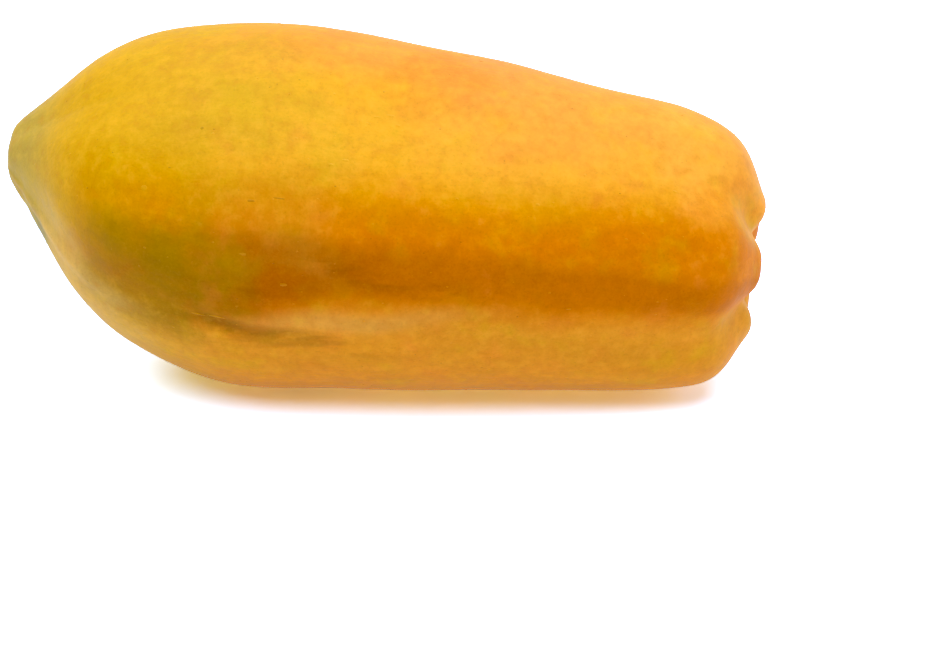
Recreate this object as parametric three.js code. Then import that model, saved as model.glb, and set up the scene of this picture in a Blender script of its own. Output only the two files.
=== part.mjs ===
// A whole ripe papaya lying on its side: the fruit, and the dried stub of its stalk in the hollow of the
// stem end. Millimetres. +X points to the stem end, +Z is up, and the fruit rests on the plane Z = 0 with
// the middle of its box over the origin.

import * as THREE from "three";
import { mergeVertices } from "three/addons/utils/BufferGeometryUtils.js";

// Size of the fruit along its core and across its widest place
const LENGTH = 240;
const WIDTH = 115;

// Outline of the fruit from the blossom tip to the floor of the stem hollow, as
// [share of the length along the core, share of the half width away from it].
const OUTLINE = [
  [0.004, 0],
  [0, 0.07],
  [0.003, 0.14],
  [0.015, 0.21],
  [0.054, 0.39],
  [0.12, 0.69],
  [0.2, 0.89],
  [0.325, 1],
  [0.47, 0.97],
  [0.645, 0.915],
  [0.79, 0.83],
  [0.89, 0.76],
  [0.955, 0.65],
  [0.986, 0.43],
  [0.996, 0.33],
  [0.985, 0.22],
  [0.97, 0.16],
  [0.967, 0.13],
  [0.967, 0],
];
const STEPS_BETWEEN_POINTS = 4;
const SIDES = 60;

// The core is not straight: the blossom tip turns up, and the neck arches a little.
// These are its heights at even steps along it.
const CORE_HEIGHTS = [8.5, 2.1, 1, 1.6, 2.4, 2, 0];

// Five carpels show as five lobes, one of them on top, with narrower grooves between.
// Depths are shares of the radius: the one all along the fruit, and what each end adds to it.
const CARPELS = 5;
const TOP = Math.PI / 2;
const GROOVE_SHARPNESS = 0.25;
const LOBE_DEPTH = { body: 0.012, stemEnd: 0.035, blossomEnd: 0.03 };
const STEM_END = { starts: 0.72, full: 0.97 };
const BLOSSOM_END = { starts: 0.25, full: 0.04 };

// Each lobe ends in a knuckle that stands out round the stem hollow, whose floor is level.
const KNUCKLE = { height: 2, starts: 0.9 };
const HOLLOW = { floor: 8, shoulder: 18 };

// Long shallow swellings, as on any grown fruit: [height, waves along the fruit, waves round it, phase].
const SWELLINGS = [
  [0.45, 1.7, 2, 0.9],
  [0.3, 2.6, 3, 2],
  [0.3, 4.3, 1, 1.3],
];

// How the fruit lies: the stem end dips until the weight is over the place that it rests on, where the
// skin gives a little.
const DIP = THREE.MathUtils.degToRad(5.6);
const REST_DEPTH = 0.6;

// Dried stub of the stalk. The gap keeps it just clear of the flesh.
const STUB = { radius: 6.6, height: 4.6, ribs: 15, ribDepth: 0.35, gap: 0.3, steps: 3, sides: 60 };
const STUB_OUTLINE = [
  [0, 0],
  [0.94, 0],
  [1, 0.3],
  [0.93, 0.86],
  [0.78, 1],
  [0.52, 0.84],
  [0.3, 0.62],
  [0, 0.56],
];

const skin = new THREE.MeshStandardMaterial({ color: 0xe6a028, roughness: 0.42, metalness: 0 });
const driedStalk = new THREE.MeshStandardMaterial({ color: 0x4a3022, roughness: 0.9, metalness: 0 });

// A solid turned round the X axis from points [along, out].
function turned(points, sides) {
  const profile = points.map(([along, out]) => new THREE.Vector2(out, along));
  const geometry = new THREE.LatheGeometry(profile, sides);
  geometry.deleteAttribute("normal");
  geometry.deleteAttribute("uv");
  return mergeVertices(geometry.rotateZ(-Math.PI / 2));
}

// A smooth curve through points [along, out], with the same number of steps between each two.
function smoothed(points, steps) {
  const curve = new THREE.SplineCurve(points.map(([along, out]) => new THREE.Vector2(along, out)));
  return curve.getPoints((points.length - 1) * steps).map(({ x, y }) => [x, Math.max(y, 0)]);
}

// Moves every vertex of a solid of the X axis by a rule of its place along, out and round that axis.
function reshape(geometry, rule) {
  const place = geometry.getAttribute("position");
  const point = new THREE.Vector3();
  for (let i = 0; i < place.count; i++) {
    point.fromBufferAttribute(place, i);
    rule(point, point.x, Math.hypot(point.y, point.z), Math.atan2(point.z, point.y));
    place.setXYZ(i, point.x, point.y, point.z);
  }
  return geometry;
}

// From 0 to 1 as x goes from the first place to the second, which may lie either way.
function fade(x, from, to) {
  return to > from ? THREE.MathUtils.smoothstep(x, from, to) : 1 - THREE.MathUtils.smoothstep(x, to, from);
}

// Above 0 on a lobe and below 0 in a groove.
function lobe(round) {
  const turn = CARPELS * (round - TOP);
  return Math.cos(turn) - GROOVE_SHARPNESS * Math.cos(2 * turn);
}

function lobeDepth(along) {
  return (
    LOBE_DEPTH.body +
    LOBE_DEPTH.stemEnd * fade(along, STEM_END.starts, STEM_END.full) +
    LOBE_DEPTH.blossomEnd * fade(along, BLOSSOM_END.starts, BLOSSOM_END.full)
  );
}

function swelling(along, round) {
  return SWELLINGS.reduce(
    (sum, [height, wavesAlong, wavesRound, phase]) =>
      sum + height * Math.sin(2 * Math.PI * wavesAlong * along + wavesRound * round + phase),
    0,
  );
}

const core = new THREE.SplineCurve(
  CORE_HEIGHTS.map((height, i) => new THREE.Vector2(i / (CORE_HEIGHTS.length - 1), height)),
);

function coreHeight(along) {
  return core.getPoint(THREE.MathUtils.clamp(along, 0, 1)).y;
}

// The plane that the fruit lies on, in the fruit's own frame: its normal points into the fruit.
function surfaceUnder(geometry) {
  const up = new THREE.Vector3(-Math.sin(DIP), 0, Math.cos(DIP));
  const plane = new THREE.Plane(up, 0);
  const place = geometry.getAttribute("position");
  const point = new THREE.Vector3();
  let lowest = Infinity;
  for (let i = 0; i < place.count; i++) {
    lowest = Math.min(lowest, plane.distanceToPoint(point.fromBufferAttribute(place, i)));
  }
  plane.constant = -(lowest + REST_DEPTH);
  return plane;
}

function makeFruit() {
  const outline = OUTLINE.map(([along, out]) => [along * LENGTH, (out * WIDTH) / 2]);
  const geometry = reshape(
    turned(smoothed(outline, STEPS_BETWEEN_POINTS), SIDES),
    (point, x, radius, round) => {
      const along = x / LENGTH;
      const uneven = fade(radius, HOLLOW.floor, HOLLOW.shoulder);
      const out = radius * (1 + lobeDepth(along) * lobe(round)) + swelling(along, round) * uneven;
      const forward = KNUCKLE.height * lobe(round) * fade(along, KNUCKLE.starts, 1) * uneven;
      point.set(x + forward, out * Math.cos(round), out * Math.sin(round) + coreHeight(along));
    },
  );
  const surface = surfaceUnder(geometry);
  reshape(geometry, (point) => {
    if (surface.distanceToPoint(point) < 0) surface.projectPoint(point, point);
  });
  const fruit = new THREE.Mesh(geometry, skin);
  fruit.name = "fruit";
  return fruit;
}

// The stub is ribbed by the strands that fed the fruit, and its broken end is dished.
function makeStub() {
  const outline = STUB_OUTLINE.map(([out, up]) => [up * STUB.height, out * STUB.radius]);
  const geometry = reshape(turned(smoothed(outline, STUB.steps), STUB.sides), (point, x, radius, round) => {
    const rib = STUB.ribDepth * Math.cos(STUB.ribs * round) * (radius / STUB.radius);
    const raised = (x / STUB.height) * rib;
    point.set(x + raised, (radius + rib) * Math.cos(round), (radius + rib) * Math.sin(round));
  });
  const stub = new THREE.Mesh(geometry, driedStalk);
  stub.name = "stalk_stub";
  const floorOfHollow = OUTLINE[OUTLINE.length - 1][0];
  stub.position.set(floorOfHollow * LENGTH + STUB.gap, 0, coreHeight(floorOfHollow));
  return stub;
}

const lying = new THREE.Group();
lying.add(makeFruit(), makeStub());
lying.rotation.y = DIP;
lying.updateMatrixWorld(true);
const box = new THREE.Box3().setFromObject(lying, true);
lying.position.set(-(box.min.x + box.max.x) / 2, -(box.min.y + box.max.y) / 2, -box.min.z);

const papaya = new THREE.Group();
papaya.add(lying);

export default papaya;
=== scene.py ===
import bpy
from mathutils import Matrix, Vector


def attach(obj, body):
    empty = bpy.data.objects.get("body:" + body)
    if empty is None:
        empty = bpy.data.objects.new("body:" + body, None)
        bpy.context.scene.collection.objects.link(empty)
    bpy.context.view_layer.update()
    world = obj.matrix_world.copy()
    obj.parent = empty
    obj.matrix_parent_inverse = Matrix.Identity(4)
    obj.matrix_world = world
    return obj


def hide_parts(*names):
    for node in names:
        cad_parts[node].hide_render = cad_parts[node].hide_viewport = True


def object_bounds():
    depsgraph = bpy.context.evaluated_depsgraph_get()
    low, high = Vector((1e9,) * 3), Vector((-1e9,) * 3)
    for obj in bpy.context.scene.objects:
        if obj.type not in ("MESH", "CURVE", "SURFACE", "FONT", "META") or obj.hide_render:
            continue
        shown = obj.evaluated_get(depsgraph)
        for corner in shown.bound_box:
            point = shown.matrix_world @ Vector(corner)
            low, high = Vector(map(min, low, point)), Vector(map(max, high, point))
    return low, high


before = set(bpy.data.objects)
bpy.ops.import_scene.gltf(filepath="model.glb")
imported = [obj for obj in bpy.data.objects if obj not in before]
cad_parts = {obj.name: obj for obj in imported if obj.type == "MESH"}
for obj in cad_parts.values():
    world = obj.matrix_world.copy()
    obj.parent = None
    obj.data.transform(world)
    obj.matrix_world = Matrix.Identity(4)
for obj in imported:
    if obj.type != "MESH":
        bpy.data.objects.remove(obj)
cad_box = [list(corner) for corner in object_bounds()]

import math
import random

import bmesh
import bpy
from mathutils import Vector, noise
from mathutils.bvhtree import BVHTree

# Sizes are in millimetres where nothing else is said, and Blender's own are in metres.
MM = 0.001


# The fruit's skin: thin, smooth and waxy, stretched over five soft lobes that grew together. It is one
# closed surface, so it is the solid's own shape made fine, with the faint swellings and the creases
# between lobes that a real skin has.
SKIN_FINENESS = 2
MERGE = 0.001
FLAT_ENOUGH = math.radians(60)
SQUARE_ENOUGH = math.radians(50)
POLE_EDGES = 20


def smoothstep(x, low, high):
    t = min(max((x - low) / (high - low), 0), 1)
    return t * t * (3 - 2 * t)


def kept_inside(place):
    """The nearest place in the box of the solids."""
    low, high = cad_box
    return Vector([min(max(value, least), most) for value, least, most in zip(place, low, high)])


def merged_copy(node):
    """The CAD solid's shape as a mesh of quads with shared corners."""
    bm = bmesh.new()
    bm.from_mesh(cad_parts[node].data)
    bmesh.ops.remove_doubles(bm, verts=bm.verts, dist=MERGE * MM)
    bmesh.ops.join_triangles(
        bm,
        faces=bm.faces,
        angle_face_threshold=FLAT_ENOUGH,
        angle_shape_threshold=SQUARE_ENOUGH,
    )
    return bm


def mark_rings(bm):
    """Writes on every corner its share along the fruit, and its height and side round the core, from -1
    to 1. Gives back the place of the blossom tip, which is one of the two poles."""
    along = bm.verts.layers.float.new("along")
    rise = bm.verts.layers.float.new("rise")
    side = bm.verts.layers.float.new("side")
    tip = min((v for v in bm.verts if len(v.link_edges) > POLE_EDGES), key=lambda v: v.co.x)
    length = max(v.co.x for v in bm.verts) - tip.co.x
    ring, seen = [tip], {tip}
    while ring:
        core = sum((v.co for v in ring), Vector()) / len(ring)
        for v in ring:
            out = v.co - core
            v[along] = (v.co.x - tip.co.x) / length
            v[rise] = out.z / out.length if out.length else 0
            v[side] = out.y / out.length if out.length else 0
        beyond = dict.fromkeys(e.other_vert(v) for v in ring for e in v.link_edges)
        ring = [v for v in beyond if v not in seen]
        seen.update(ring)
    return tip.co.copy()


def finished(name, mesh, material, slot, *nodes):
    """A piece of the fruit, in place, riding on its body."""
    piece = bpy.data.objects.new(name, mesh)
    bpy.context.scene.collection.objects.link(piece)
    mesh.materials.clear()
    mesh.materials.append(material)
    mesh.shade_smooth()
    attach(piece, "root")
    if nodes:
        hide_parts(*nodes)
    return piece


def made_fine(bm, levels):
    """The mesh with a subdivision surface applied."""
    cage_mesh = bpy.data.meshes.new("cage")
    bm.to_mesh(cage_mesh)
    bm.free()
    cage = bpy.data.objects.new("cage", cage_mesh)
    bpy.context.scene.collection.objects.link(cage)
    smooth = cage.modifiers.new("smooth", "SUBSURF")
    smooth.levels = smooth.render_levels = levels
    graph = bpy.context.evaluated_depsgraph_get()
    fine = bpy.data.meshes.new_from_object(cage.evaluated_get(graph))
    bpy.data.objects.remove(cage)
    bpy.data.meshes.remove(cage_mesh)
    return fine


# Creases between the lobes, and the low ribs that run beside them: degrees round the core from the near
# side up, the degrees that each turns by along the fruit, the shares along the fruit where it starts, is
# strongest and ends, and its size in millimetres. Widths and the wander are in degrees.
CREASES = (
    (-22.6, -16, 0.21, 0.34, 0.54, 0.6),
    (54, 6, 0.0, 0.12, 0.35, 0.2),
    (126, -8, 0.02, 0.25, 0.6, 0.3),
    (198, 5, 0.1, 0.5, 0.9, 0.55),
    (270, 0, 0.0, 0.12, 0.3, 0.3),
)
RIBS = (
    (-25, 0, -0.06, 0.1, 0.26, 0.8),
    (-17, 32, 0.2, 0.45, 0.8, 0.45),
    (133, -8, 0.02, 0.25, 0.6, 0.3),
    (205, 5, 0.1, 0.5, 0.9, 0.5),
)
CREASE_WIDTH = 3
RIB_WIDTH = 4.8
WANDER = 2.5
WANDER_WAVES = 9
LINE_SPACING = 30

# Faint darker lines of painted shade that only colour the skin, given in the same way, with their
# strength.
SHADE_LINES = (
    (3.5, -38, 0.18, 0.42, 0.8, 1.1),
    (-6, -30, 0.15, 0.3, 0.5, 0.6),
    (40, -10, 0.1, 0.35, 0.6, 0.3),
    (150, 10, 0.1, 0.5, 0.9, 0.8),
    (-70, 0, 0.1, 0.4, 0.9, 0.6),
    (-25.8, -14, 0.18, 0.38, 0.62, 1.4),
)
SHADE_LINE_WIDTH = 3.6

# The groove under the knob of the tip: its share along the fruit, its width, and its depth in millimetres.
NECK_AT = 0.022
NECK_WIDTH = 0.007
NECK_DEPTH = 0.4

# Lumps and dimples, as [height in millimetres, waves a metre along and across, place in the noise].
UNEVENNESS = (
    (0.2, (12, 55, 55), (0, 0, 0)),
    (0.14, (70, 70, 70), (3, 0, 0)),
    (0.05, (260, 260, 260), (0, 5, 0)),
)


def line_height(lines, width, along, angle):
    """How strong a set of lengthwise lines is at a place on the skin, in millimetres."""
    height = 0
    for line, turns, starts, strongest, ends, full in lines:
        own_noise = Vector((along * WANDER_WAVES, round(line / LINE_SPACING), 0))
        wander = turns * (along - strongest) + WANDER * noise.noise(own_noise)
        away = (angle - line - wander + 180) % 360 - 180
        reach = smoothstep(along, starts, strongest) * (1 - smoothstep(along, strongest, ends))
        height += full * reach * math.exp(-((away / width) ** 2))
    return height


def add_skin_relief(mesh):
    """Moves the skin in and out by tenths of a millimetre, and writes where the creases and ribs are, and
    where the lines of painted shade go.
    """
    for name in ("crease", "rib", "shade_line"):
        mesh.attributes.new(name, "FLOAT", "POINT")
    along, rise, side, creased, ribbed, shade_lined = (
        mesh.attributes[name].data for name in ("along", "rise", "side", "crease", "rib", "shade_line")
    )
    moved = []
    for i, v in enumerate(mesh.vertices):
        uneven = sum(
            most * noise.noise(Vector([at * wave for at, wave in zip(v.co, waves)]) + Vector(shift))
            for most, waves, shift in UNEVENNESS
        )
        angle = math.degrees(math.atan2(rise[i].value, -side[i].value))
        crease = line_height(CREASES, CREASE_WIDTH, along[i].value, angle)
        rib = line_height(RIBS, RIB_WIDTH, along[i].value, angle)
        creased[i].value = crease
        ribbed[i].value = rib
        shade_lined[i].value = line_height(SHADE_LINES, SHADE_LINE_WIDTH, along[i].value, angle)
        neck = NECK_DEPTH * math.exp(-(((along[i].value - NECK_AT) / NECK_WIDTH) ** 2))
        neck *= smoothstep(-rise[i].value, -0.1, 0.4)
        height = uneven - crease + rib - neck
        moved.append(v.co + v.normal * height * MM)
    for v, p in zip(mesh.vertices, moved):
        v.co = kept_inside(p)


# The middle of a patch of colour that has its full strength, as a share of the patch's reach.
PATCH_CORE = 0.35


class Shader:
    """Builds one material from small steps, each of which gives back its result's socket."""

    def __init__(self, name):
        self.material = bpy.data.materials.new(name)
        self.material.use_nodes = True
        self.tree = self.material.node_tree
        self.bsdf = self.tree.nodes["Principled BSDF"]
        self.place = self.tree.nodes.new("ShaderNodeTexCoord").outputs["Object"]

    def node(self, kind, inputs=(), **settings):
        made = self.tree.nodes.new("ShaderNode" + kind)
        for key, value in settings.items():
            setattr(made, key, value)
        for key, value in dict(inputs).items():
            self.put(value, made.inputs[key])
        return made

    def put(self, value, socket):
        if isinstance(value, bpy.types.NodeSocket):
            self.tree.links.new(value, socket)
        else:
            socket.default_value = value

    def attribute(self, name):
        return self.node("Attribute", attribute_name=name).outputs["Fac"]

    def stretched(self, scale):
        return self.node("Mapping", {"Vector": self.place, "Scale": scale}).outputs[0]

    def noise(self, scale, detail, roughness, at=None):
        inputs = {"Vector": at or self.place, "Scale": scale, "Detail": detail, "Roughness": roughness}
        return self.node("TexNoise", inputs).outputs["Fac"]

    def between(self, value, low, high, to_low=0.0, to_high=1.0):
        inputs = {"Value": value, "From Min": low, "From Max": high, "To Min": to_low, "To Max": to_high}
        return self.node("MapRange", inputs, interpolation_type="SMOOTHSTEP").outputs[0]

    def math(self, operation, a, b=0.0):
        return self.node("Math", {0: a, 1: b}, operation=operation).outputs[0]

    def near(self, centre, reach, edge=0.0):
        """From 1 round a place on the fruit to 0 at its reach, both in millimetres, with an edge broken
        by a value."""
        away = self.node("VectorMath", {0: self.place, 1: Vector(centre) * MM}, operation="DISTANCE")
        bent = self.math("ADD", away.outputs["Value"], edge)
        return self.between(bent, reach * MM * PATCH_CORE, reach * MM, 1.0, 0.0)

    def mix(self, share, a, b):
        made = self.node("Mix", data_type="RGBA")
        for value, socket in ((share, 0), (a, 6), (b, 7)):
            self.put(value, made.inputs[socket])
        return made.outputs[2]

    def laid(self, colour, shade, where, strength):
        """A colour with a shade laid over it where a value is above 0."""
        return self.mix(self.math("MULTIPLY", where, strength), colour, shade)

    def tint(self, colour, value):
        """A colour made lighter or darker by a value round 1."""
        return self.node("VectorMath", {0: colour, "Scale": value}, operation="SCALE").outputs[0]

    def bump(self, height, distance, after=None):
        made = self.node("Bump", {"Height": height, "Distance": distance, "Strength": 1.0})
        if after:
            self.put(after, made.inputs["Normal"])
        return made.outputs[0]


def srgb(red, green, blue):
    """A colour as it looks, from 0 to 255, turned into light."""
    shares = (red / 255, green / 255, blue / 255)
    return (*(c / 12.92 if c <= 0.04 else ((c + 0.055) / 1.055) ** 2.4 for c in shares), 1)


GOLD = srgb(238, 176, 22)
ORANGE = srgb(222, 128, 4)
# The orange of the painted shade on the belt, and of a dark patch at the belt's height.
SHADED_ORANGE = srgb(176, 96, 2)
PEACH = srgb(248, 166, 60)
OLIVE = srgb(160, 120, 4)
LEMON = srgb(212, 164, 14)
UNDER_GOLD = srgb(228, 154, 42)
KHAKI = srgb(216, 166, 50)
ROSE = srgb(248, 146, 74)
STEM_PEACH = srgb(255, 180, 72)
TIP_GOLD = srgb(214, 168, 44)
TIP_GREEN = srgb(190, 162, 68)
GREY_GREEN = srgb(146, 142, 90)
# The pale of painted highlights and of a painted reflection of the floor.
PALE_SHEEN = srgb(226, 188, 108)
BLOTCH_GREEN = srgb(216, 180, 14)
BLOTCH_PINK = srgb(240, 140, 52)
WAX = srgb(246, 196, 84)


# Patches of other colours, as [middle, reach, strength and sometimes colour], in millimetres.
UPPER_PATCHES = (
    ((97, -17, 85), 26, 0.55, STEM_PEACH),
    ((-32, -50, 86), 40, 0.16, WAX),
    ((112, -22, 65), 18, 0.45, ORANGE),
    ((16, -17, 103), 24, 0.3, ORANGE),
    ((-58, -56, 61), 22, 0.32, SHADED_ORANGE),
    ((-75, -20, 95), 75, 0.7, LEMON),
)
NEAR_OLIVE = (((-70, -49, 38), 36, 0.75), ((-46, -56, 50), 24, 0.35))
FAR_OLIVE = (((-66, 50, 58), 50, 0.5), ((-18, 54, 40), 26, 0.3), ((30, 46, 30), 36, 0.45))
# Where painted light lies on the tip: a reflection of the floor low on its front, and highlights down a
# lobe ridge.
LOW_FRONT_REFLECTION = ((-95, -33, 34), 29)
TIP_RIDGE_HIGHLIGHT = (((-103, -27, 61), 13, 0.4), ((-97, -33, 52), 16, 0.4), ((-88, -38, 43), 18, 0.1))
TIP_GREY = (((-111, -18, 52), 17, 0.8), ((-113, 4, 46), 20, 0.28), ((-110, 20, 56), 16, 0.2))
HOLLOW = ((112, 0, 41.5), 17)

# Waves a metre of the noises in the skin, and the heights in millimetres of those that are raised.
DRIFT_WAVES = 15
RAGGED_WAVES = 42
BLOTCH_WAVES = 75
STREAK_WAVES = (25, 110, 110)
MOTTLE_WAVES = 260
GRAIN_WAVES = 1300
WRINKLE_WAVES = (190, 620, 620)
MOTTLE_HEIGHT = 0.12
GRAIN_HEIGHT = 0.04
WRINKLE_HEIGHT = 0.1


def skin_material(name, over=None, strength=0.0):
    """The colours of the skin, with one more colour over them for what grows in it."""
    s = Shader(name)
    along = s.attribute("along")
    rise = s.attribute("rise")
    drift = s.math("SUBTRACT", s.noise(DRIFT_WAVES, 4, 0.6), 0.5)
    ragged = s.math("MULTIPLY", s.math("SUBTRACT", s.noise(RAGGED_WAVES, 4, 0.65), 0.5), 0.06)
    wandering = s.math("ADD", ragged, s.math("MULTIPLY", drift, 0.12))
    blotch = s.noise(BLOTCH_WAVES, 4, 0.6)
    streaks = s.noise(1, 4, 0.6, at=s.stretched(STREAK_WAVES))
    mottle = s.noise(MOTTLE_WAVES, 3, 0.7)
    grain = s.noise(GRAIN_WAVES, 3, 0.65)
    level = s.math("ADD", rise, s.math("MULTIPLY", drift, 0.3))

    # Gold above, orange below it, a belt of painted shade round the sides, deepest on the near side, and a
    # duller gold underneath.
    stem_end = s.between(along, 0.65, 0.95, 0.0, 0.22)
    colour = s.mix(s.between(s.math("SUBTRACT", level, stem_end), 0.65, 0.2), GOLD, ORANGE)
    lower = s.math("SUBTRACT", level, s.between(along, 0.32, 0.54, -0.05, 0.15))
    shade_belt = s.math("MULTIPLY", s.between(level, 0.24, 0.1), s.between(lower, -0.36, -0.14))
    shade_belt = s.math("MULTIPLY", shade_belt, s.between(s.attribute("side"), 0.3, -0.3, 0.6, 1.0))
    colour = s.laid(colour, SHADED_ORANGE, shade_belt, s.between(along, 0.35, 0.65, 0.95, 0.5))
    under = s.mix(s.between(along, 0.15, 0.35), KHAKI, UNDER_GOLD)
    colour = s.mix(s.between(lower, -0.2, -0.46), colour, under)
    colour = s.mix(s.between(s.math("ADD", along, ragged), 0.15, 0.06), colour, TIP_GOLD)

    # Peach on top towards the stem end, and a rosy ridge half way.
    blush = s.math("ADD", along, s.math("MULTIPLY", drift, 0.5))
    topside = s.between(s.math("SUBTRACT", rise, stem_end), 0.35, 0.85)
    colour = s.laid(colour, PEACH, s.between(blush, 0.3, 0.75), topside)
    ridge = s.math("MULTIPLY", s.between(blush, 0.22, 0.42), s.between(blush, 0.78, 0.62))
    ridge = s.math("MULTIPLY", ridge, s.between(level, 0.82, 1.0))
    colour = s.laid(colour, ROSE, ridge, 0.55)

    # Patches that ripened sooner or later than the rest.
    for centre, reach, much, shade in UPPER_PATCHES:
        colour = s.laid(colour, shade, s.near(centre, reach, ragged), much)
    above_belly = s.between(rise, -0.64, -0.46)
    for patches, edge in ((NEAR_OLIVE, ragged), (FAR_OLIVE, wandering)):
        for centre, reach, much in patches:
            patch = s.math("MULTIPLY", s.near(centre, reach, edge), above_belly)
            colour = s.laid(colour, OLIVE, patch, much)

    # The tip is green and grey, with a pale shoulder where a lobe ridge carries a painted highlight, and
    # the stem hollow is duller than the lobes.
    # A painted reflection of the pale floor, low on the front of the tip.
    floor_reflection = s.math("MULTIPLY", s.near(*LOW_FRONT_REFLECTION, ragged), s.between(rise, -0.35, -0.6))
    colour = s.laid(colour, PALE_SHEEN, floor_reflection, 0.35)
    for centre, reach, much in TIP_RIDGE_HIGHLIGHT:
        colour = s.laid(colour, PALE_SHEEN, s.near(centre, reach), much)
    tip_edge = s.math("ADD", along, s.math("MULTIPLY", ragged, 0.8))
    colour = s.mix(s.between(tip_edge, 0.03, 0.1, 1.0, 0.0), colour, TIP_GREEN)
    for centre, reach, much in TIP_GREY:
        colour = s.laid(colour, GREY_GREEN, s.near(centre, reach, ragged), much)
    colour = s.laid(colour, KHAKI, s.near(*HOLLOW, ragged), 0.6)

    # Blotches, fewer of them on the belt of painted shade, then pale ribs that carry a painted highlight
    # and dark creases that carry painted shade.
    clear = s.math("SUBTRACT", 1.0, s.math("MULTIPLY", shade_belt, 0.8))
    colour = s.laid(colour, BLOTCH_GREEN, s.between(blotch, 0.5, 0.75, 0.0, 0.3), clear)
    pink = s.between(blotch, 0.5, 0.25, 0.0, 0.3)
    colour = s.laid(colour, BLOTCH_PINK, pink, s.between(along, 0.15, 0.35))
    # The ribs and creases are raised and sunk in the mesh; the pale here is painted highlight and the
    # darkening is painted shade.
    colour = s.mix(s.between(s.attribute("rib"), 0.05, 0.5, 0.0, 0.28), colour, PALE_SHEEN)
    colour = s.tint(colour, s.between(s.attribute("crease"), 0.1, 0.6, 1.0, 0.68))

    # Mottling, streaks, lines of painted shade broken by the streaks, and grain.
    colour = s.tint(colour, s.between(mottle, 0.25, 0.75, 0.93, 1.04))
    colour = s.tint(colour, s.between(streaks, 0.3, 0.7, 0.95, 1.03))
    # Painted shade along the lines, broken up by the streak noise.
    broken_shade = s.math("MULTIPLY", s.attribute("shade_line"), s.between(streaks, 0.62, 0.38))
    colour = s.tint(colour, s.between(broken_shade, 0.0, 1.0, 1.0, 0.78))
    colour = s.laid(colour, WAX, s.between(mottle, 0.45, 0.75, 0.0, 0.13), clear)
    colour = s.laid(colour, ORANGE, s.between(mottle, 0.5, 0.28, 0.0, 0.16), clear)
    colour = s.mix(s.between(grain, 0.5, 0.8, 0.0, 0.08), colour, WAX)
    colour = s.tint(colour, s.between(grain, 0.5, 0.2, 1.0, 0.86))
    if over:
        colour = s.mix(strength, colour, over)

    # A thin wax: a soft sheen, and a little light that comes back out of the flesh.
    s.put(colour, s.bsdf.inputs["Base Color"])
    s.put(s.between(mottle, 0.3, 0.7, 0.48, 0.6), s.bsdf.inputs["Roughness"])
    s.bsdf.inputs["Specular IOR Level"].default_value = 0.16
    s.bsdf.inputs["Sheen Weight"].default_value = 0.12
    s.bsdf.inputs["Sheen Roughness"].default_value = 0.35
    s.bsdf.inputs["Subsurface Weight"].default_value = 0.1
    s.bsdf.inputs["Subsurface Radius"].default_value = (1.0, 0.35, 0.08)
    s.bsdf.inputs["Subsurface Scale"].default_value = 4 * MM
    wrinkles = s.noise(1, 3, 0.6, at=s.stretched(WRINKLE_WAVES))
    pores = s.bump(grain, GRAIN_HEIGHT * MM)
    crinkled = s.bump(wrinkles, WRINKLE_HEIGHT * MM, after=pores)
    s.put(s.bump(mottle, MOTTLE_HEIGHT * MM, after=crinkled), s.bsdf.inputs["Normal"])
    return s.material


bm = merged_copy("fruit")
blossom_tip = mark_rings(bm)
skin_mesh = made_fine(bm, SKIN_FINENESS)
add_skin_relief(skin_mesh)
finished("papaya_skin", skin_mesh, skin_material("papaya skin"), "skin", "fruit")


# Lenticels: pale specks of cork through which the skin breathes, with a few healed pricks among them. The
# growing skin made them, and most are some tenths of a millimetre across and hardly raised.
PALE_SPECKS = 480
PALE_BIGGEST = 0.42
PALE_CORK = srgb(255, 200, 70)
PALE_STRENGTH = 0.14
SPECK_SIDES = 8
SPECK_RINGS = ((1, -0.3), (0.85, 0.3), (0.45, 0.85))
SPECK_RISE = 0.1
SPECK_UNEVEN = 0.35
SPECK_WAVES = 900
SPECK_SIZES = (0.35, 1)
SPECK_STRETCH = (1, 1.9)
MOST_ARE_SMALL = 1.5
SPECKS_FROM_TIP = 12
SPECKS_ABOVE = 2
FRUIT_DIP = math.radians(5.6)
TOWARDS_STALK = Vector((math.cos(FRUIT_DIP), 0, -math.sin(FRUIT_DIP)))

# The ones that stand out, as [place, half its length, half its width], in millimetres.
PALE_MARKS = (
    ((-67, -50.1, 78.6), 1.1, 0.9),
    ((-36.5, -57.3, 61), 1.2, 0.5),
    ((-24.8, -56.2, 51), 1.3, 0.6),
    ((-51.9, -51.7, 38.8), 2.6, 0.35),
    ((-46, -52.6, 38.6), 3.2, 0.4),
    ((-11, -46, 86), 0.9, 0.45),
    ((-6.9, -44.4, 87.1), 1.3, 0.4),
    ((-1, -34.5, 95.5), 1.0, 0.35),
    ((1.5, -32, 96.6), 1.2, 0.4),
    ((5.5, -31, 96.9), 1.6, 0.45),
    ((8, -34, 95.4), 0.9, 0.35),
)

skin_tree = BVHTree.FromPolygons(
    [v.co for v in skin_mesh.vertices], [p.vertices for p in skin_mesh.polygons], epsilon=0
)
speck_ground = [p for p in skin_mesh.polygons if p.center.x > blossom_tip.x + SPECKS_FROM_TIP * MM]
ground_areas = [p.area for p in speck_ground]


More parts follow.
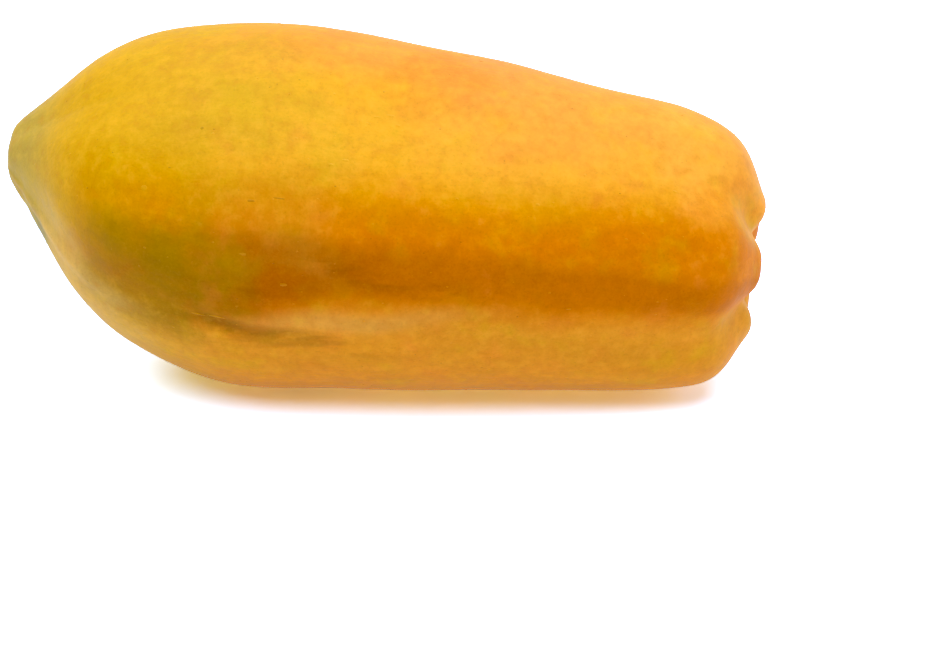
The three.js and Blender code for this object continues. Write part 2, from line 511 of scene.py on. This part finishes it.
def add_speck(bm, place, half_length, half_width):
    """A low uneven dome on the skin nearest to a place, longest along the fruit."""
    centre, normal, face, _ = skin_tree.find_nearest(place)
    skin_corner = skin_mesh.polygons[face].vertices[0]
    lengthwise = (TOWARDS_STALK - normal * TOWARDS_STALK.dot(normal)).normalized()
    across = normal.cross(lengthwise)
    rings = []
    for share, rise in SPECK_RINGS:
        ring = []
        for k in range(SPECK_SIDES):
            turn = 2 * math.pi * k / SPECK_SIDES
            wave = noise.noise(place * SPECK_WAVES + Vector((math.cos(turn), math.sin(turn), 0)))
            flat = lengthwise * math.cos(turn) * half_length + across * math.sin(turn) * half_width
            spot = centre + flat * (share * (1 + SPECK_UNEVEN * wave)) * MM
            under, facing, _, _ = skin_tree.find_nearest(spot)
            ring.append(bm.verts.new(kept_inside(under + facing * rise * SPECK_RISE * MM)))
        rings.append(ring)
    bm.faces.new(reversed(rings[0]))
    top = bm.verts.new(kept_inside(centre + normal * SPECK_RISE * MM))
    for name in ("along", "rise"):
        layer = bm.verts.layers.float[name]
        for v in (top, *(v for ring in rings for v in ring)):
            v[layer] = skin_mesh.attributes[name].data[skin_corner].value
    for low, high in zip(rings, rings[1:]):
        for k in range(SPECK_SIDES):
            bm.faces.new((low[k - 1], low[k], high[k], high[k - 1]))
    for k in range(SPECK_SIDES):
        bm.faces.new((rings[-1][k - 1], rings[-1][k], top))


def speckled(name, marks, count, biggest, seed):
    """Specks of one kind: the ones that stand out, and many small ones strewn over the skin."""
    draw = random.Random(seed)
    bm = bmesh.new()
    for layer in ("along", "rise"):
        bm.verts.layers.float.new(layer)
    for place, half_length, half_width in marks:
        add_speck(bm, Vector(place) * MM, half_length, half_width)
    for ground in draw.choices(speck_ground, ground_areas, k=count):
        half = biggest * draw.uniform(*SPECK_SIZES) ** MOST_ARE_SMALL
        if ground.center.z > SPECKS_ABOVE * MM:
            add_speck(bm, ground.center, half * draw.uniform(*SPECK_STRETCH), half)
    mesh = bpy.data.meshes.new(name)
    bm.to_mesh(mesh)
    bm.free()
    return mesh


pale_mesh = speckled("pale_lenticels", PALE_MARKS, PALE_SPECKS, PALE_BIGGEST, seed=3)
finished("pale_lenticels", pale_mesh, skin_material("pale lenticels", PALE_CORK, PALE_STRENGTH), "skin")


# Brown flecks: places where a leaf or a drop of the fruit's own juice touched the young skin and it healed
# over in thin dark cork. They are smaller and fewer than the pale specks.
BROWN_SPECKS = 260
BROWN_BIGGEST = 0.26
BROWN_CORK = srgb(104, 58, 12)
BROWN_STRENGTH = 0.28
BROWN_MARKS = (
    ((-50.2, -42.2, 95.3), 0.6, 0.55),
    ((-34, -54.2, 76.8), 1.2, 0.4),
    ((-25.5, -54.6, 78), 1.8, 0.22),
    ((25, 6.9, 105.4), 1.8, 0.7),
    ((30, 3, 104), 1.0, 0.5),
)

brown_mesh = speckled("brown_flecks", BROWN_MARKS, BROWN_SPECKS, BROWN_BIGGEST, seed=4)
finished("brown_flecks", brown_mesh, skin_material("brown flecks", BROWN_CORK, BROWN_STRENGTH), "skin")


# The scar that the blossom left at the tip: a small brown corky star with five short arms and a crumbly
# middle. It grew there, in the dimple of the tip.
LOBES = 5
STAR_REACH = 3.4
STAR_WAIST = 1.5
STAR_HEIGHT = 0.5
STAR_STANDS_OUT = 0.15
STAR_ARM_SHARPNESS = 1.5
STAR_SEGMENTS = 60
STAR_RINGS = 24
STAR_CRUMB_WAVES = 900
STAR_CRUMB_HEIGHT = 0.2


def scar_material():
    s = Shader("blossom scar cork")
    crumbs = s.noise(STAR_CRUMB_WAVES, 4, 0.7)
    colour = s.mix(s.between(crumbs, 0.35, 0.65), srgb(74, 52, 26), srgb(150, 116, 64))
    s.put(colour, s.bsdf.inputs["Base Color"])
    s.put(s.between(crumbs, 0.3, 0.7, 0.75, 0.95), s.bsdf.inputs["Roughness"])
    s.put(s.bump(crumbs, STAR_CRUMB_HEIGHT * MM), s.bsdf.inputs["Normal"])
    return s.material


bm = bmesh.new()
bmesh.ops.create_uvsphere(bm, u_segments=STAR_SEGMENTS, v_segments=STAR_RINGS, radius=1)
for v in bm.verts:
    x, y, z = v.co
    turn = math.atan2(y, x)
    arm = max(0, math.cos(LOBES * (turn - math.pi / 2))) ** STAR_ARM_SHARPNESS
    reach = STAR_WAIST + (STAR_REACH - STAR_WAIST) * arm
    out = math.hypot(x, y) * reach * (1 + 0.3 * noise.noise(v.co * 4))
    crumbly = 1 + 0.8 * noise.noise(Vector((x, y, 0)) * 5)
    up = z * STAR_HEIGHT * crumbly * (1 - 0.35 * arm)
    v.co = Vector((math.cos(turn) * out, math.sin(turn) * out, up)) * MM
facing = (-TOWARDS_STALK).to_track_quat("Z", "X").to_matrix()
bmesh.ops.rotate(bm, verts=bm.verts, cent=(0, 0, 0), matrix=facing)
dimple = min((v.co for v in skin_mesh.vertices), key=lambda p: (p - blossom_tip).length)
bmesh.ops.translate(bm, verts=bm.verts, vec=dimple - TOWARDS_STALK * STAR_STANDS_OUT * MM)
scar_mesh = bpy.data.meshes.new("blossom_scar")
bmesh.ops.recalc_face_normals(bm, faces=bm.faces)
bm.to_mesh(scar_mesh)
bm.free()
finished("blossom_scar", scar_mesh, scar_material(), "skin")


# The dried stub of the stalk, in the hollow of the stem end: hard, dark brown and ribbed lengthwise by the
# strands that fed the fruit. The fruit was snapped off it, so its end is dished and rough.
STUB_FINENESS = 2
STALK_UP = Vector((math.sin(FRUIT_DIP), 0, math.cos(FRUIT_DIP)))
STALK_SIDE = Vector((0, 1, 0))
STUB_FREE = (0.5, 2.5)
STUB_RIB_WAVES = 9
STUB_RIB_HEIGHT = 0.5
STUB_RIB_SHARE = 0.8
TORN_OFF = 0.5
TORN_COARSE = 1.4
TORN_FINE = 0.5
FIBRE_WAVES = (180, 1500, 1500)
FIBRE_HEIGHT = 0.25
PIT_WAVES = 700
PIT_HEIGHT = 0.2

stub_corners = [v.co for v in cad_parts["stalk_stub"].data.vertices]
stub_foot = TOWARDS_STALK * min(p.dot(TOWARDS_STALK) for p in stub_corners)
stub_foot += STALK_UP * sum(p.dot(STALK_UP) for p in stub_corners) / len(stub_corners)


def on_stalk(up, out, turn):
    """A place by the stub: millimetres up from its foot, out from its middle, and the turn round it."""
    outwards = STALK_SIDE * math.cos(turn) + STALK_UP * math.sin(turn)
    return stub_foot + (TOWARDS_STALK * up + outwards * out) * MM


def stub_material(name, dark, light, dry):
    s = Shader(name)
    fibres = s.noise(1, 4, 0.6, at=s.stretched(FIBRE_WAVES))
    crumbs = s.noise(PIT_WAVES, 4, 0.7)
    colour = s.mix(s.between(fibres, 0.35, 0.68), dark, light)
    colour = s.mix(s.between(crumbs, 0.56, 0.72, 0.0, 0.8), colour, dry)
    s.put(colour, s.bsdf.inputs["Base Color"])
    s.put(s.between(crumbs, 0.3, 0.7, 0.7, 0.95), s.bsdf.inputs["Roughness"])
    s.bsdf.inputs["Specular IOR Level"].default_value = 0.3
    pits = s.bump(crumbs, PIT_HEIGHT * MM)
    s.put(s.bump(fibres, FIBRE_HEIGHT * MM, after=pits), s.bsdf.inputs["Normal"])
    return s.material


core_wood = stub_material("dried stalk", srgb(62, 42, 38), srgb(116, 88, 78), srgb(168, 140, 116))
stub_mesh = made_fine(merged_copy("stalk_stub"), STUB_FINENESS)
moved = []
for v in stub_mesh.vertices:
    away = v.co - stub_foot
    up = away.dot(TOWARDS_STALK) / MM
    turn = math.atan2(away.dot(STALK_UP), away.dot(STALK_SIDE))
    out = Vector((away.dot(STALK_UP), away.dot(STALK_SIDE), 0)) / MM
    ribs = noise.noise(Vector((math.cos(turn), math.sin(turn), 0.02 * up)) * STUB_RIB_WAVES)
    ribs *= STUB_RIB_HEIGHT
    torn = TORN_OFF + TORN_COARSE * abs(noise.noise(out * 0.9)) + TORN_FINE * noise.noise(out * 2.7)
    free = smoothstep(up, *STUB_FREE)
    raised = v.normal * ribs * free * STUB_RIB_SHARE
    moved.append(v.co + (raised - TOWARDS_STALK * torn * free) * MM)
for v, p in zip(stub_mesh.vertices, moved):
    v.co = p
finished("stub_core", stub_mesh, core_wood, "dried_stalk", "stalk_stub")


# The strands that were torn through when the fruit was snapped off: stiff dry threads that fed it, and now
# stand out of the stub's end. Most of them are dark.
STRANDS = 170
STRAND_SIDES = 5
STRAND_STEPS = 3
STRANDS_REACH = 6.0
STRAND_ROOT = 1.6
STRAND_TOP = 4.6
STRAND_STANDS = (-0.2, 1.1)
STRAND_WIDTHS = (0.16, 0.42)
STRAND_TAPER = 0.6
STRAND_LEANS_OUT = (-1.3, 0.5)
STRAND_LEANS_ROUND = (-0.3, 0.3)
BLEACHED_SHARE = 0.35

# The dished end of the stub, as [distance from its middle, height], in millimetres.
DISH = ((0, 2.6), (2, 2.8), (3.4, 3.6), (5.1, 4.1), (6.2, 3.4))


def dish_height(out):
    """How high the stub's end is at a distance from its middle, in millimetres."""
    for (near, low), (far, high) in zip(DISH, DISH[1:]):
        if out <= far:
            return low + (high - low) * (out - near) / (far - near)
    return DISH[-1][1]


def add_strand(bm, draw):
    """One thread that tapers and leans as it rises."""
    out = STRANDS_REACH * math.sqrt(draw.random())
    turn = draw.uniform(0, 2 * math.pi)
    width = draw.uniform(*STRAND_WIDTHS)
    low = dish_height(out) - STRAND_ROOT
    high = min(dish_height(out) + draw.uniform(*STRAND_STANDS), STRAND_TOP)
    lean_out = draw.uniform(*STRAND_LEANS_OUT)
    lean_turn = draw.uniform(*STRAND_LEANS_ROUND)
    rings = []
    for step in range(STRAND_STEPS + 1):
        share = step / STRAND_STEPS
        thick = width * (1 - STRAND_TAPER * share)
        leant = share ** 2
        middle = on_stalk(low + (high - low) * share, out + lean_out * leant, turn + lean_turn * leant)
        rings.append([
            bm.verts.new(middle + (STALK_SIDE * math.cos(a) + STALK_UP * math.sin(a)) * thick * MM)
            for a in (2 * math.pi * k / STRAND_SIDES for k in range(STRAND_SIDES))
        ])
    for below, above in zip(rings, rings[1:]):
        for k in range(STRAND_SIDES):
            bm.faces.new((below[k], below[k - 1], above[k - 1], above[k]))
    bm.faces.new(rings[0])
    bm.faces.new(reversed(rings[-1]))


def strand_mesh(name, bm):
    bmesh.ops.recalc_face_normals(bm, faces=bm.faces)
    mesh = bpy.data.meshes.new(name)
    bm.to_mesh(mesh)
    bm.free()
    return mesh


draw = random.Random(11)
dark_bm, bleached_bm = bmesh.new(), bmesh.new()
for _ in range(STRANDS):
    add_strand(bleached_bm if draw.random() < BLEACHED_SHARE else dark_bm, draw)
dark_wood = stub_material("dark strands", srgb(70, 48, 42), srgb(132, 104, 92), srgb(164, 136, 114))
finished("dark_strands", strand_mesh("dark_strands", dark_bm), dark_wood, "dried_stalk")


# The rest of the same strands, bleached like straw by the sun. They stand among the dark ones, in the
# places that the draw above gave them.
bleached_wood = stub_material(
    "bleached strands", srgb(150, 118, 84), srgb(206, 176, 132), srgb(226, 204, 168)
)
finished("bleached_strands", strand_mesh("bleached_strands", bleached_bm), bleached_wood, "dried_stalk")


# The corky collar where the stalk joined the fruit: a low lumpy ring, brown-green, that closes the gap
# between the stub and the wall of the hollow.
COLLAR_OUT = 7.5
COLLAR_WIDTH = 1.0
COLLAR_HEIGHT = 0.75
COLLAR_SIDES = 12
COLLAR_STEPS = 120
COLLAR_SUNK = 0.1
COLLAR_WAVES = 3.5
COLLAR_LUMP = 0.5
COLLAR_FINE_WAVES = 1.2
COLLAR_FINE_LUMP = 0.35
CORK_PATCH_WAVES = 260
CORK_CRUMB_WAVES = 1100
CORK_CRUMB_HEIGHT = 0.15
SAME_PLACE = 1e-4

bm = bmesh.new()
bmesh.ops.create_circle(bm, segments=COLLAR_SIDES, radius=1)
for v in bm.verts:
    v.co = Vector((v.co.x * COLLAR_WIDTH + COLLAR_OUT, 0, v.co.y * COLLAR_HEIGHT))
bmesh.ops.spin(
    bm,
    geom=bm.verts[:] + bm.edges[:],
    cent=(0, 0, 0),
    axis=(0, 0, 1),
    angle=2 * math.pi,
    steps=COLLAR_STEPS,
    use_merge=True,
)
bmesh.ops.remove_doubles(bm, verts=bm.verts, dist=SAME_PLACE)
for v in bm.verts:
    x, y, z = v.co
    turn = math.atan2(y, x)
    lump = noise.noise(Vector((math.cos(turn), math.sin(turn), 0)) * COLLAR_WAVES) * COLLAR_LUMP
    lump += noise.noise(Vector((x, y, z)) * COLLAR_FINE_WAVES) * COLLAR_FINE_LUMP
    v.co = on_stalk(z * (1 + lump) - COLLAR_SUNK, math.hypot(x, y) + lump * 0.5, turn)
bmesh.ops.recalc_face_normals(bm, faces=bm.faces)
collar_mesh = bpy.data.meshes.new("hollow_collar")
bm.to_mesh(collar_mesh)
bm.free()


def cork_material(name, green, brown, dark):
    s = Shader(name)
    patches = s.noise(CORK_PATCH_WAVES, 4, 0.65)
    crumbs = s.noise(CORK_CRUMB_WAVES, 3, 0.7)
    colour = s.mix(s.between(patches, 0.38, 0.62), green, brown)
    colour = s.mix(s.between(crumbs, 0.55, 0.75, 0.0, 0.9), colour, dark)
    s.put(colour, s.bsdf.inputs["Base Color"])
    s.put(s.between(crumbs, 0.3, 0.7, 0.65, 0.9), s.bsdf.inputs["Roughness"])
    s.put(s.bump(crumbs, CORK_CRUMB_HEIGHT * MM), s.bsdf.inputs["Normal"])
    return s.material


collar_cork = cork_material("collar cork", srgb(132, 120, 52), srgb(126, 92, 48), srgb(64, 44, 28))
finished("hollow_collar", collar_mesh, collar_cork, "dried_stalk")


# What is left of the five sepals: small three-cornered scales, dried brown-green, that grew round the
# stalk and lie back against the wall of the hollow.
SEPAL_LENGTH = 4.6
SEPAL_HALF_WIDTH = 2.3
SEPAL_THICK = 0.3
SEPAL_CELLS = 18
SEPAL_TURNS = (-0.12, 0.12)
SEPAL_LENGTHS = (0.75, 1)
SEPAL_WIDTHS = (0.8, 1)
SEPAL_CURLS = (0.2, 0.7)
SEPAL_TORN = 0.45
SEPAL_STARTS = 7.1
SEPAL_OFF_WALL = 0.35
SEPAL_BLUNT = 0.12
MIDRIB_HEIGHT = 0.3
MIDRIB_WIDTH = 0.22

# The wall of the hollow: its height by the stub, how much it rises, and from where to where.
WALL_FOOT = 0.2
WALL_RISE = 4.4
WALL_FROM = 7.4
WALL_TO = 13.2


def wall_height(out):
    """How high the wall of the hollow is above the stub's foot, by the distance from the stub's middle."""
    return WALL_FOOT + WALL_RISE * smoothstep(out, WALL_FROM, WALL_TO)


sepal_dry = cork_material("dried sepal", srgb(138, 130, 66), srgb(134, 96, 52), srgb(78, 52, 30))
draw = random.Random(5)
bm = bmesh.new()
for i in range(LOBES):
    middle = math.pi / 2 + 2 * math.pi * (i + 0.5) / LOBES + draw.uniform(*SEPAL_TURNS)
    length = SEPAL_LENGTH * draw.uniform(*SEPAL_LENGTHS)
    half = SEPAL_HALF_WIDTH * draw.uniform(*SEPAL_WIDTHS)
    curl = draw.uniform(*SEPAL_CURLS)
    made = bmesh.ops.create_grid(bm, x_segments=SEPAL_CELLS, y_segments=SEPAL_CELLS, size=0.5)["verts"]
    faces = list(dict.fromkeys(f for v in made for f in v.link_faces))
    for v in made:
        share, across = v.co.x + 0.5, v.co.y * 2
        torn = 1 + SEPAL_TORN * noise.noise(Vector((share * 6, math.copysign(3, across), 4 * i)))
        width = half * (1 - share ** 1.8) ** 0.85 * torn + SEPAL_BLUNT
        out = SEPAL_STARTS + length * share
        cup = curl * share ** 2 + 0.5 * across ** 2 * (1 - share)
        cup += 0.25 * noise.noise(Vector((share, across, i)) * 3)
        midrib = MIDRIB_HEIGHT * math.exp(-((across / MIDRIB_WIDTH) ** 2)) * (1 - 0.7 * share)
        height = wall_height(out) + SEPAL_OFF_WALL + cup + midrib
        v.co = on_stalk(height, out, middle + across * width / out)
    bmesh.ops.recalc_face_normals(bm, faces=faces)
    bmesh.ops.solidify(bm, geom=faces, thickness=SEPAL_THICK * MM)
bmesh.ops.recalc_face_normals(bm, faces=bm.faces)
sepal_mesh = bpy.data.meshes.new("sepals")
bm.to_mesh(sepal_mesh)
bm.free()
finished("sepals", sepal_mesh, sepal_dry, "dried_stalk")


# The surface that the fruit lies on: a plain white light table, far larger than the view. It glows a
# little from below, and the camera sees it overexposed.
FLOOR_HALF = 6000
TABLE_WHITE = (0.62, 0.62, 0.62, 1)
TABLE_SEEN = (1.58, 2.18, 3.24, 1)
TABLE_GLOW = 0.4
GLOW_SEEN = 0.04

bm = bmesh.new()
bmesh.ops.create_grid(bm, x_segments=1, y_segments=1, size=FLOOR_HALF * MM)
floor_mesh = bpy.data.meshes.new("floor")
bm.to_mesh(floor_mesh)
bm.free()
table = Shader("light table")
seen = table.node("LightPath").outputs["Is Camera Ray"]
top = table.node("BsdfDiffuse", {"Color": table.mix(seen, TABLE_WHITE, TABLE_SEEN)})
glow = table.node("Emission", {"Strength": table.between(seen, 0, 1, TABLE_GLOW, GLOW_SEEN)})
both = table.node("AddShader", {0: top.outputs[0], 1: glow.outputs[0]})
table.put(both.outputs[0], table.tree.nodes["Material Output"].inputs["Surface"])
floor_mesh.materials.append(table.material)
floor = bpy.data.objects.new("floor", floor_mesh)
bpy.context.scene.collection.objects.link(floor)


# A soft light overhead, a weaker one on the stem end's side, and a room that is dark on the camera's side
# and pale behind the fruit.
OVERHEAD_POWER = 3.52
OVERHEAD_SPREAD = math.radians(85)
OVERHEAD_TURN = (math.radians(6), math.radians(-9), 0)
SIDE_POWER = 0.9
SIDE_SPREAD = math.radians(60)
SIDE_TURN = (0, math.radians(78), 0)
ROOM_FRONT = 0.04
ROOM_BACK = 0.7

for name, power, spread, turn in (
    ("overhead", OVERHEAD_POWER, OVERHEAD_SPREAD, OVERHEAD_TURN),
    ("side", SIDE_POWER, SIDE_SPREAD, SIDE_TURN),
):
    lamp_data = bpy.data.lights.new(name, "SUN")
    lamp_data.energy = power
    lamp_data.angle = spread
    lamp = bpy.data.objects.new(name, lamp_data)
    lamp.rotation_euler = turn
    bpy.context.scene.collection.objects.link(lamp)

room = bpy.data.worlds.new("room")
room.use_nodes = True
links = room.node_tree.links
direction = room.node_tree.nodes.new("ShaderNodeTexCoord").outputs["Generated"]
parts = room.node_tree.nodes.new("ShaderNodeSeparateXYZ")
strength = room.node_tree.nodes.new("ShaderNodeMapRange")
for name, value in (("From Min", -0.1), ("From Max", 0.9), ("To Min", ROOM_FRONT), ("To Max", ROOM_BACK)):
    strength.inputs[name].default_value = value
seen = room.node_tree.nodes.new("ShaderNodeLightPath").outputs["Is Camera Ray"]
brightest = room.node_tree.nodes.new("ShaderNodeMath")
brightest.operation = "MAXIMUM"
links.new(direction, parts.inputs[0])
links.new(parts.outputs["Y"], strength.inputs["Value"])
links.new(strength.outputs[0], brightest.inputs[0])
links.new(seen, brightest.inputs[1])
links.new(brightest.outputs[0], room.node_tree.nodes["Background"].inputs["Strength"])
room.node_tree.nodes["Background"].inputs["Color"].default_value = (1, 1, 1, 1)
bpy.context.scene.world = room


# The camera looks at the whole fruit from the front and a little above, with the stem end to the right
# and slightly nearer. It stands as far off as for a lens of 100 mm.
LENS_MM = 100
SENSOR_MM = 36
VIEW_AZIMUTH = math.radians(4.57)
VIEW_ELEVATION = math.radians(22)
VIEW_DISTANCE = 843.5 * MM
AIM = Vector((26.83, 0, 17.92)) * MM
SEEN_FROM = 50
SEEN_TO = 50000

camera_data = bpy.data.cameras.new("camera")
camera_data.lens = LENS_MM
camera_data.sensor_width = SENSOR_MM
camera_data.clip_start = SEEN_FROM * MM
camera_data.clip_end = SEEN_TO * MM
camera = bpy.data.objects.new("camera", camera_data)
towards_camera = Vector((
    math.sin(VIEW_AZIMUTH) * math.cos(VIEW_ELEVATION),
    -math.cos(VIEW_AZIMUTH) * math.cos(VIEW_ELEVATION),
    math.sin(VIEW_ELEVATION),
))
camera.location = AIM + towards_camera * VIEW_DISTANCE
camera.rotation_euler = (-towards_camera).to_track_quat("-Z", "Y").to_euler()
bpy.context.scene.collection.objects.link(camera)
bpy.context.scene.camera = camera


# Plain tones, with the deepest shade taken down to black.
DEEPEST_SHADE = 0.018

look = bpy.context.scene.view_settings
look.view_transform = "Standard"
look.use_curve_mapping = True
look.curve_mapping.black_level = (DEEPEST_SHADE,) * 3
look.curve_mapping.update()
